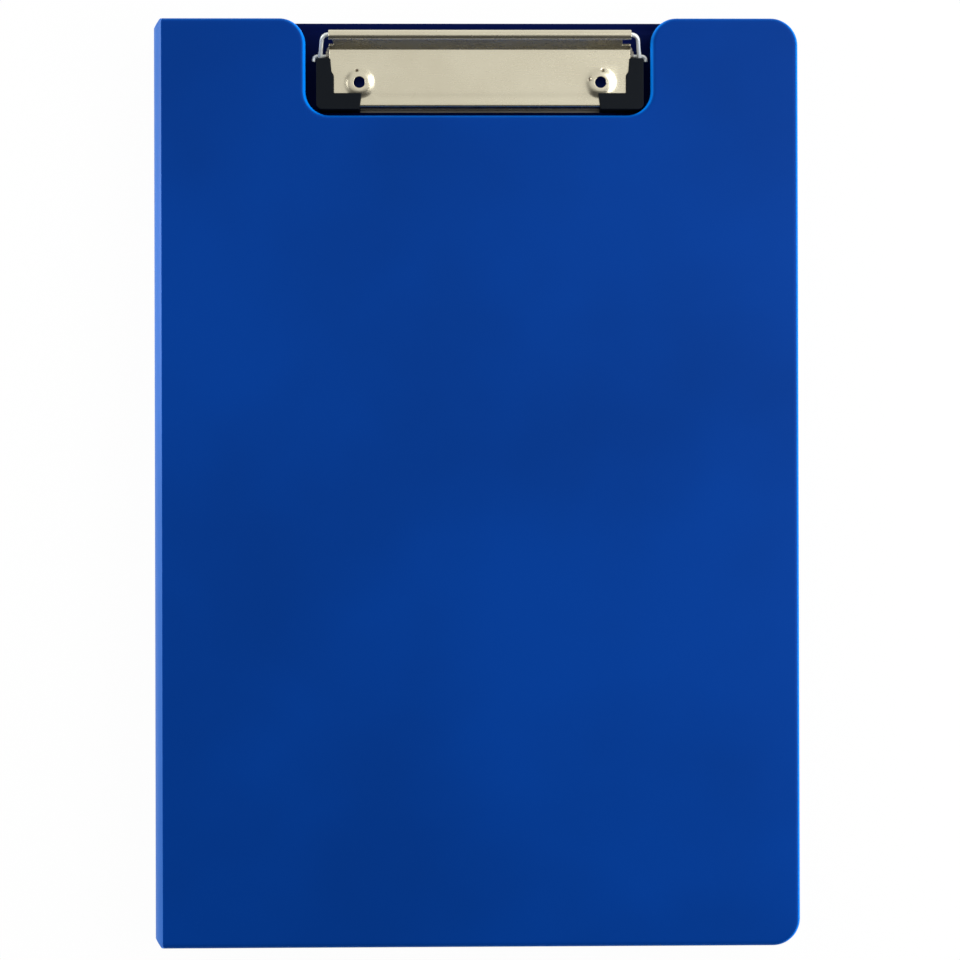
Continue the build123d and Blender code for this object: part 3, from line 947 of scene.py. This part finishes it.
        # Large faces shade flat up to the rounded edges
        modify(piece, "level_faces", "WEIGHTED_NORMAL", mode="FACE_AREA", weight=100, keep_sharp=True)
        settle(piece, Body.COVER, Slot.POCKET, "front_pocket")

    def fold_line(self, level: float, rise: int, inner: float) -> list[Point2]:
        """Draws one fold's section from the spine to the panel.

        Args:
            level: Height of the spine's end.
            rise: 1 for the fold above the spine, -1 for the one below.
            inner: How far the line lies inside the film's face.

        Returns:
            The section's x and z.
        """
        size, half = self.fold_radius, math.radians(self.fold_turn / 2)
        radius = size * math.sqrt(0.5) / math.sin(half)
        away = radius * math.cos(half) * math.sqrt(0.5)
        middle = ((self.left + self.panel_left) / 2 + away, size / 2 - away)
        # The bend faces outwards and away from the spine, at 135 degrees
        first, last = 135 + self.fold_turn / 2, 135 - self.fold_turn / 2
        return [(x, level + rise * z) for x, z in arc(middle, radius - inner, first, last, self.fold_steps)]

    def fold(self, name: str, level: float, rise: int, panel: Body) -> None:
        """Builds one fold, a strip of film curved between the spine and a panel.

        Args:
            name: The piece's name.
            level: Height of the spine's end.
            rise: 1 for the fold above the spine, -1 for the one below.
            panel: The panel's body.
        """
        made = Maker(name)
        lines = [self.fold_line(level, rise, inner) for inner in (0.0, self.fold_film)]
        outer, inner = [], []
        for row, line in zip((outer, inner), lines):
            for (x, z), (edge_x, _) in zip(line, lines[0]):
                nick = self.nick_along * (1 - min(1.0, (edge_x - self.left) / self.nick_across))
                end = self.top - self.fold_short - nick
                row.append(made.ring([(x, -end, z), (x, end, z)]))
        loop = outer + inner[::-1]
        for one, two in zip(loop, loop[1:] + loop[:1]):
            made.face((one[0], one[1], two[1], two[0]))
        for side in (0, 1):
            made.bridge([pair[side] for pair in outer], [pair[side] for pair in inner], closed=False)
        piece = made.make(self.finishes.fold)
        start = (self.left * MM, 0.0, level * MM)
        end = (self.panel_left * MM, 0.0, (level + rise * self.fold_radius) * MM)
        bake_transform(piece)
        log.info("%s bends between spine and %s", name, panel.value)


# The clip


@dataclass(frozen=True)
class ClipSizes:
    """Places and sizes that the clip's pieces share, as the frame has them."""

    centre: float = 1.4
    sheet: float = 0.8
    base_top: float = 3.8
    plate_mid: float = 9.7
    lip_mid: float = 137.9
    wall_foot: float = 158.9
    pivot_y: float = 156.84
    pivot_z: float = 7.0
    rod_radius: float = 0.65
    tip_half: float = 58.0
    jaw_half: float = 55.2
    eye_mid: float = 58.68
    hole_half: float = 44.2
    hole_y: float = 146.5
    sides: tuple[int, int] = (-1, 1)

    def pivot_circle(self, radius: float, start: float, end: float, steps: int) -> list[Point2]:
        """Returns points round the pivot, seen from the side."""
        return arc((self.pivot_y, self.pivot_z), radius, start, end, steps)


@dataclass
class ClipPiece:
    """What each piece of the clip is built from."""

    finishes: Finishes
    at: ClipSizes


@dataclass
class JawSheet(ClipPiece):
    """The jaw: lip, plate, wall and finger roll out of one strip of sheet, and its two lugs."""

    lip_rows: tuple[float, ...] = (4.25, 6.0, 7.6)
    bend: float = 0.6
    bend_steps: int = 8
    wall_turn: float = 60.0
    wall_shares: tuple[float, ...] = (0.1, 0.4, 0.7, 0.96)
    roll_mid: float = 1.6
    roll_y: float = 162.94
    roll_z: float = 13.5
    roll_end: float = -120.0
    roll_steps: int = 40
    block: float = 7.0
    block_cells: int = 24
    middle_cells: int = 6
    ring_out: float = 6.5
    ring_in: float = 2.4
    ring_rise: float = 0.9
    ring_ease: float = 0.44
    ring_rows: tuple[float, ...] = (
        6.1, 5.7, 5.4, 5.1, 4.8, 4.5, 4.2, 3.9, 3.6, 3.3, 3.05, 2.8, 2.6, 2.4, 2.25,
    )
    hole: float = 2.05
    valley_front: float = 138.5
    valley_width: float = 4.8
    valley_depth: float = 0.10
    marks: tuple[tuple[int, float, float], ...] = ((-1, -0.9, 4.4), (1, 0.9, 4.4), (1, -3.9, 1.1))
    mark_radius: float = 0.8
    mark_depth: float = 0.4
    mark_face: float = 0.64
    reliefs: tuple[float, float] = (1.6, 3.2)
    shoulder_y: float = 155.2
    shoulder_rows: tuple[float, ...] = (-0.6, 0.0, 1.2)
    lug_front: float = 1.9
    lug_rise: float = 0.35
    lug_head: float = 158.2
    lug_back: tuple[Point2, ...] = ((160.4, 5.7), (160.35, 6.3), (159.4, 9.6))
    slack: float = 1e-6

    def stations(self) -> tuple[list[Point2], range]:
        """Lays out the strip's mid line.

        Returns:
            Its y and z from the lip's foot to the end of the roll, and the rows of the wall's reliefs.
        """
        at, z = self.at, self.at.plate_mid
        points = [(at.lip_mid, height) for height in self.lip_rows]
        points += arc((at.lip_mid + self.bend, z - self.bend), self.bend, 180, 90, self.bend_steps)
        low = at.hole_y - self.block
        points += [(low + 2 * self.block * i / self.block_cells, z) for i in range(self.block_cells + 1)]
        points += [(self.shoulder_y + offset, z) for offset in self.shoulder_rows]
        tangent = self.bend * math.tan(math.radians(self.wall_turn / 2))
        points += arc((at.wall_foot - tangent, z + self.bend), self.bend, -90, -90 + self.wall_turn,
                      self.bend_steps)
        roll = arc((self.roll_y, self.roll_z), self.roll_mid, 90 + self.wall_turn, self.roll_end,
                   self.roll_steps)
        wall_rows = range(len(points) + 1, len(points) + 3)
        foot, head = Vector(points[-1]), Vector(roll[0])
        points += [tuple(foot.lerp(head, share)) for share in self.wall_shares]
        return points + roll, wall_rows

    def columns(self) -> list[float]:
        """Lays out the strip's width.

        Returns:
            Places across, measured from the clip's centre.
        """
        at, step = self.at, 2 * self.block / self.block_cells
        right = [at.hole_half - self.block + step * i for i in range(self.block_cells + 1)]
        right += [at.jaw_half - relief for relief in self.reliefs[::-1]] + [at.jaw_half, at.tip_half]
        half = [right[0] * i / self.middle_cells for i in range(self.middle_cells)] + right
        return [-x for x in half[:0:-1]] + half

    def height(self, x: float, y: float) -> float:
        """Gives the mid sheet's height on the plate, with rings, valley and punch marks.

        Args:
            x: Place across, from the clip's centre.
            y: Place along the folder.

        Returns:
            The height.
        """
        side = 1 if x > 0 else -1
        across = x - side * self.at.hole_half
        along = y - self.at.hole_y
        share = (self.ring_out - math.hypot(across, along)) / (self.ring_out - self.ring_in)
        level = self.at.plate_mid + self.ring_rise * cone_rise(min(1.0, max(0.0, share)), self.ring_ease)
        valley = (y - self.valley_front) / self.valley_width
        if 0.0 < valley < 1.0:
            level -= self.valley_depth * (1 - math.cos(2 * math.pi * valley)) / 2
        for mark_side, mark_x, mark_y in self.marks:
            off = math.hypot(across - mark_x, along - mark_y) / self.mark_radius
            if mark_side == side and off < 1.0:
                level -= self.mark_depth * (1 - off * off)
        return level

    def build(self) -> None:
        """Builds the jaw's sheet and its lugs."""
        at = self.at
        made = Maker("jaw_sheet")
        rows, wall_rows = self.stations()
        across = self.columns()

        def vertex(i: int, j: int) -> Any:
            """Gives the grid's vertex.

            Args:
                i: Its row.
                j: Its column.

            Returns:
                The vertex, made where it is new.
            """
            y, z = rows[i]
            z = self.height(across[j], y) if z == at.plate_mid else z
            return made.vertex((i, j), (at.centre + across[j], y, z))

        for i, (row, above) in enumerate(zip(rows, rows[1:])):
            for j, (column, beside) in enumerate(zip(across, across[1:])):
                x = abs(column + beside) / 2
                y = (row[0] + above[0]) / 2
                on_block = abs(y - at.hole_y) < self.block and abs(x - at.hole_half) < self.block
                if on_block and row[1] == above[1] == at.plate_mid:
                    continue
                if x > at.jaw_half and above[0] > self.shoulder_y + self.slack:
                    continue
                if x > at.jaw_half - self.reliefs[column + beside > 0] and i in wall_rows:
                    continue
                made.face((vertex(i, j), vertex(i, j + 1), vertex(i + 1, j + 1), vertex(i + 1, j)))
        for side in at.sides:
            self.ring_patch(made, side, rows, across, vertex)
        piece = made.make(self.finishes.nickel, crease=30.0)
        # The punch marks' faces get the darker material, painted shade in the pits.
        piece.data.materials.append(self.finishes.punch_mark_shade)
        for face in piece.data.polygons:
            x, y = face.center.x / MM - at.centre, face.center.y / MM - at.hole_y
            for side, mark_x, mark_y in self.marks:
                if math.hypot(x - side * at.hole_half - mark_x, y - mark_y) < self.mark_face:
                    face.material_index = 1
        modify(piece, "sheet", "SOLIDIFY", thickness=at.sheet * MM, offset=0.0, use_even_offset=True)
        bevel(piece, width=0.16, segments=2, limit=55.0)
        settle(piece, Body.JAW, Slot.NICKEL, "jaw_plate")
        self.lugs()

    def ring_patch(self, made: Maker, side: int, rows: list[Point2], across: list[float],
                   vertex: Callable[[int, int], Any]) -> None:
        """Fills one block of the plate with a raised ring round its hole.

        Args:
            made: The strip's maker.
            side: -1 for the left block, 1 for the right one.
            rows: The strip's mid line.
            across: The strip's columns.
            vertex: Gives the grid's vertices.
        """
        centre_x, centre_y = side * self.at.hole_half, self.at.hole_y
        reach = self.block + self.slack
        near = [j for j, x in enumerate(across) if abs(x - centre_x) < reach]
        flat = [i for i, (y, z) in enumerate(rows) if z == self.at.plate_mid and abs(y - centre_y) < reach]
        border = [(flat[0], j) for j in near] + [(i, near[-1]) for i in flat[1:]]
        border += [(flat[-1], j) for j in near[-2::-1]] + [(i, near[0]) for i in flat[-2:0:-1]]
        outer = [vertex(i, j) for i, j in border]
        ways = [Vector((across[j] - centre_x, rows[i][0] - centre_y)).normalized() for i, j in border]
        for radius in (*self.ring_rows, self.hole):
            spots = [(centre_x + way.x * radius, centre_y + way.y * radius) for way in ways]
            inner = made.ring((self.at.centre + x, y, self.height(x, y)) for x, y in spots)
            made.bridge(outer, inner)
            outer = inner

    def lugs(self) -> None:
        """Builds the two lugs that are turned down on to the rod."""
        at = self.at
        front, top = at.pivot_y - self.lug_front, at.plate_mid + self.lug_rise
        round_foot = at.pivot_circle(self.lug_front, 180, 300, steps=12)[1:]
        outline = [(front, top), (front, at.pivot_z), *round_foot, *self.lug_back, (self.lug_head, top)]
        for side, name in zip(at.sides, ("left", "right")):
            made = Maker("jaw_lug_" + name)
            outside = at.centre + side * at.jaw_half
            made.side_plate(outline, *sorted((outside, outside - side * at.sheet)))
            piece = made.make(self.finishes.nickel)
            bevel(piece, width=0.3, segments=3, limit=45.0)
            settle(piece, Body.JAW, Slot.NICKEL)


@dataclass
class LeverWire(ClipPiece):
    """Bright wire through the roll, with an eye on each end of the rod."""

    mid_y: float = 163.244
    mid_z: float = 13.804
    reach: float = 2.3
    bend: float = 2.6
    wire_radius: float = 0.72
    eye_radius: float = 1.42

    def build(self) -> None:
        """Builds the wire, whose legs run off the eyes, and the two eyes."""
        at = self.at
        made = Maker("lever_wire_bright")
        along, rise = self.mid_y - at.pivot_y, self.mid_z - at.pivot_z
        touch = math.atan2(rise, along) + math.acos(self.eye_radius / math.hypot(rise, along))
        foot_y = at.pivot_y + self.eye_radius * math.cos(touch)
        foot_z = at.pivot_z + self.eye_radius * math.sin(touch)
        corners = []
        for side in at.sides:
            foot = (at.centre + side * at.eye_mid, foot_y, foot_z)
            shoulder = (at.centre + side * (at.jaw_half + self.reach), self.mid_y, self.mid_z)
            corners += [foot, shoulder][::-side]
        made.tube(bent(corners, self.bend), self.wire_radius, sides=20)
        eye = at.pivot_circle(self.eye_radius, 0, 360, steps=40)[:-1]
        for side in at.sides:
            x = at.centre + side * at.eye_mid
            made.tube([(x, y, z) for y, z in eye], self.wire_radius, looped=True)
        settle(made.make(self.finishes.wire), Body.JAW, Slot.WIRE, "lever_wire")


@dataclass
class PivotRod(ClipPiece):
    """The rod that the jaw turns on, bent over at both ends."""

    turn: float = 59.76
    bend: float = 1.4
    tail: float = 0.6

    def build(self) -> None:
        """Builds the rod."""
        made = Maker("pivot_rod_bright")
        y, z = self.at.pivot_y, self.at.pivot_z
        left, right = (self.at.centre + side * (self.turn + self.bend) for side in self.at.sides)
        front = y - self.bend - self.tail
        corners = [(left, front, z), (left, y, z), (right, y, z), (right, front, z)]
        made.tube(bent(corners, self.bend), self.at.rod_radius, sides=20)
        settle(made.make(self.finishes.wire), Body.BACK, Slot.WIRE, "pivot_rod")


@dataclass
class CornerCap(ClipPiece):
    """A moulded cap slipped over a front corner of the jaw."""

    side: int
    outer: float = 60.0
    front: float = 136.6
    arm: float = 6.5
    upper_arm: float = 5.6
    step_y: float = 149.2
    step_slope: float = 1.3
    length: float = 18.8
    tip_inner: float = 0.4
    tip_outer: Point2 = (0.5, 0.6)
    toe: float = 16.7
    toe_depth: float = 6.0
    slant: float = 0.9
    corner: float = 2.2
    top: float = 11.0
    under: float = 8.4
    ground: float = 4.1
    skirt: float = 2.6
    digits: int = 4

    def build(self) -> None:
        """Builds one cap: an L over the plate and a skirt in front of the lip."""
        name = "left" if self.side < 0 else "right"
        made = Maker("cap_moulding_" + name)
        foot, step = self.toe - self.slant, self.step_y - self.front
        corner = rounded([(0, self.length, 0), (0, 0, self.corner), (self.length, 0, 0)])[1:-1]
        body = [place for place in corner if place[1] <= self.skirt] + [(foot, 0)]
        body += [(foot + self.slant * self.skirt / self.toe_depth, self.skirt), (0, self.skirt)]
        rest = [body[-1], body[-2], (self.toe, self.toe_depth), (self.arm, self.toe_depth), (self.arm, step),
                (self.upper_arm, step + self.step_slope), (self.upper_arm - self.tip_inner, self.length),
                (self.tip_outer[0], self.length), (0, self.length - self.tip_outer[1])]

        def corner_at(place: Point2) -> Any:
            """Gives the underside's vertex at a place in the cap's own plan.

            Args:
                place: Distance from the cap's outer side and from its front.

            Returns:
                The vertex, made where it is new.
            """
            key = tuple(round(part, self.digits) for part in place)
            x = self.at.centre + self.side * (self.outer - place[0])
            return made.vertex(key, (x, self.front + place[1], self.under))

        skirt, plate = (made.face([corner_at(place) for place in plan]) for plan in (body, rest))
        made.push([skirt, plate], self.top - self.under, keep=True)
        made.push([skirt], self.ground - self.under)
        bmesh.ops.delete(made.mesh, geom=[skirt], context="FACES_ONLY")
        piece = made.make(self.finishes.cap)
        bevel(piece, width=0.5, segments=3, limit=30.0)
        settle(piece, Body.JAW, Slot.CAP, "corner_cap_" + name)


@dataclass
class TorsionSpring(ClipPiece):
    """Spring round the rod, between the base plate and the jaw."""

    wire: float = 0.9
    radius: float = 1.45
    turns: int = 8
    turn_steps: int = 28
    pitch: float = 1.4
    base_leg: float = 4.2
    jaw_leg: float = 2.1
    leg_lean: float = 0.12
    running: float = 0.05

    def build(self) -> None:
        """Builds the coil with its two legs, which winds between base and jaw."""
        at, clear = self.at, self.running + self.wire / 2
        base_end = (self.base_leg, at.base_top + clear - at.pivot_z)
        jaw_end = (self.jaw_leg, at.plate_mid - at.sheet / 2 - clear - at.pivot_z)
        start = math.atan2(base_end[1], base_end[0]) - math.acos(self.radius / math.hypot(*base_end))
        finish = math.atan2(jaw_end[1], jaw_end[0]) + math.acos(self.radius / math.hypot(*jaw_end))
        finish -= 2 * math.pi * self.turns
        length = self.pitch * (start - finish) / (2 * math.pi)
        first, last = at.centre - length / 2, at.centre + length / 2
        steps = self.turn_steps * self.turns
        coil = at.pivot_circle(self.radius, math.degrees(start), math.degrees(finish), steps)
        path = [(first + length * index / steps, y, z) for index, (y, z) in enumerate(coil)]
        base = (first - self.leg_lean, at.pivot_y + base_end[0], at.pivot_z + base_end[1])
        jaw = (last + self.leg_lean, at.pivot_y + jaw_end[0], at.pivot_z + jaw_end[1])
        made = Maker("spring_coil")
        made.tube([base, *path, jaw], self.wire / 2, sides=14)
        piece = made.make(self.finishes.spring)
        first * MM
        last * MM
        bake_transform(piece)
        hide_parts("torsion_spring")
        log.info("spring_coil winds between back and jaw")


@dataclass
class Rivets(ClipPiece):
    """Two rivets, hollow below a closed head, that hold the base plate, with their washers."""

    core: float = 1.2
    bore: float = 2.1
    barrel: float = 2.55
    head: float = 3.7
    head_round: float = 0.34
    head_steps: int = 6
    crown: Point2 = (1.0, 0.02)
    foot: float = 4.0
    foot_level: float = 0.45
    thick: float = 0.5
    washer: float = 5.5
    fit: float = 0.05
    ease: float = 0.1
    soft: float = 0.15
    dome: float = 0.2

    def build(self) -> None:
        """Builds the rivets and their washers."""
        under, low, soft, ease = self.at.base_top, self.foot_level, self.soft, self.ease
        top, seat = under + self.thick, low + self.thick
        profile = [
            (self.core, top), (self.head - self.crown[0], top - self.crown[1]),
            *arc((self.head - self.head_round, top - self.crown[1] - self.head_round), self.head_round,
                 90, 0, self.head_steps),
            (self.head - self.fit, under), (self.barrel, under), (self.barrel, seat),
            (self.foot - ease, seat), (self.foot, seat - soft), (self.foot, low + ease),
            (self.foot - ease, low), (self.bore + soft, low), (self.bore, low + soft),
            (self.bore, under - self.dome), (self.bore - self.dome, under), (self.core, under),
        ]
        rim = seat + self.thick
        ring = [
            (self.barrel + self.fit, seat + self.fit), (self.barrel + ease, rim), (self.washer - soft, rim),
            (self.washer, rim - soft), (self.washer, seat + ease), (self.washer - ease, seat),
            (self.barrel + ease, seat),
        ]
        rivets, washers = Maker("rivet_pair"), Maker("washer_pair")
        for side in self.at.sides:
            spot = (self.at.centre + side * self.at.hole_half, self.at.hole_y)
            rivets.lathe(spot, profile, looped=False)
            washers.lathe(spot, ring, looped=True)
        settle(rivets.make(self.finishes.rivet), Body.BACK, Slot.RIVET, "clip_rivets")
        settle(washers.make(self.finishes.wire), Body.BACK, Slot.WIRE, "rivet_washers")


@dataclass
class Clip:
    """The sprung clip at the top of the back panel."""

    finishes: Finishes
    at: ClipSizes = field(default_factory=ClipSizes)

    def build(self) -> None:
        """Builds and dresses the clip's pieces."""
        redress("clip_base_plate", self.finishes.base)
        for kind in (JawSheet, LeverWire, PivotRod):
            kind(self.finishes, self.at).build()
        for side in self.at.sides:
            CornerCap(self.finishes, self.at, side).build()
        for kind in (TorsionSpring, Rivets):
            kind(self.finishes, self.at).build()


# The studio


@dataclass(frozen=True)
class Lamp:
    """A soft square lamp that faces the object: its place, its side and its watts."""

    name: str
    place: Point3
    size: float
    power: float
    aim: Point3 = (0.0, 0.0, 10.0)

    def hang(self) -> None:
        """Hangs the lamp."""
        data = bpy.data.lights.new(self.name, "AREA")
        data.shape = "SQUARE"
        data.size = self.size * MM
        data.energy = self.power
        lamp = bpy.data.objects.new(self.name, data)
        bpy.context.scene.collection.objects.link(lamp)
        lamp.location = Vector(self.place) * MM
        lamp.rotation_euler = (Vector(self.aim) * MM - lamp.location).to_track_quat("-Z", "Y").to_euler()


@dataclass
class Studio:
    """Floor, lamps, world and camera."""

    camera_place: Point3 = (-7.08, -0.74, 675.37)
    camera_turn: Point3 = (0.139, -0.698, -0.144)
    lens: float = 68.1
    sensor: float = 36.0
    lamps: tuple[Lamp, ...] = (
        Lamp("key_right", (600, -60, 430), 420, 3.4),
        Lamp("fill_left", (-650, 200, 300), 340, 2.2),
        Lamp("high_right", (560, 430, 640), 520, 3.2),
    )
    floor_half: float = 3000.0
    floor_level: float = -9.6
    floor_colour: Colour = (0.9, 0.9, 0.9, 1.0)
    floor_glow: float = 0.97
    horizon: Pair = (0.03, 0.16)
    screen_along: Pair = (-0.32, 0.06)
    screen_across: Pair = (0.35, 0.75)
    screen: float = 0.80
    dim: float = 0.06

    def build(self) -> None:
        """Sets up everything round the object."""
        self.floor()
        self.world()
        for lamp in self.lamps:
            lamp.hang()
        self.camera()
        bpy.context.scene.view_settings.view_transform = "Standard"

    def floor(self) -> None:
        """Lays the pale floor, a little below the folder."""
        made = Maker("floor")
        half = self.floor_half
        corners = ((-half, -half), (half, -half), (half, half), (-half, half))
        made.face(made.ring((x, y, self.floor_level) for x, y in corners))
        graph = Graph(bpy.data.materials.new("floor_white"))
        rays = ("Is Camera Ray", "Is Glossy Ray", "Is Transmission Ray")
        seen = sum((graph.node("LightPath", output=ray) for ray in rays), 0.0)
        lit = graph.node("BsdfDiffuse", {}, {"Color": self.floor_colour})
        glow = graph.node("Emission", {}, {"Color": WHITE, "Strength": 1.0})
        graph.show(graph.node("MixShader", {}, [seen.clamp() * self.floor_glow, lit, glow]))
        made.make(graph.owner)

    def world(self) -> None:
        """Lights the room: white towards the horizon and on a screen beyond the head, dim overhead."""
        world = bpy.data.worlds.new("room")
        bpy.context.scene.world = world
        graph = Graph(world)
        place = graph.node("TexCoord", output="Generated")
        across, along, height = (graph.axis(place, name) for name in "XYZ")
        backdrop = 1.0 - height.smooth(*self.horizon)
        beside = across.math("ABSOLUTE").smooth(*self.screen_across)
        screen = along.smooth(*self.screen_along) * (1.0 - beside)
        level = (backdrop + screen * self.screen + self.dim).math("MINIMUM", 1.0)
        colour = graph.blend(level, BLACK, WHITE)
        graph.show(graph.node("Background", {}, [colour, 1.0]), "OutputWorld")

    def camera(self) -> None:
        """Sets the camera over the object, looking straight down."""
        data = bpy.data.cameras.new("photo_camera")
        data.lens = self.lens
        data.sensor_width = self.sensor
        camera = bpy.data.objects.new("photo_camera", data)
        bpy.context.scene.collection.objects.link(camera)
        camera.location = Vector(self.camera_place) * MM
        camera.rotation_euler = [math.radians(turn) for turn in self.camera_turn]
        bpy.context.scene.camera = camera


def main() -> None:
    """Builds the object and the studio round it."""
    logging.basicConfig(level=logging.INFO, format="%(name)s: %(message)s")
    finishes = Finishes()
    Folder(finishes).build()
    Clip(finishes).build()
    Studio().build()


if __name__ == "__main__":
    main()
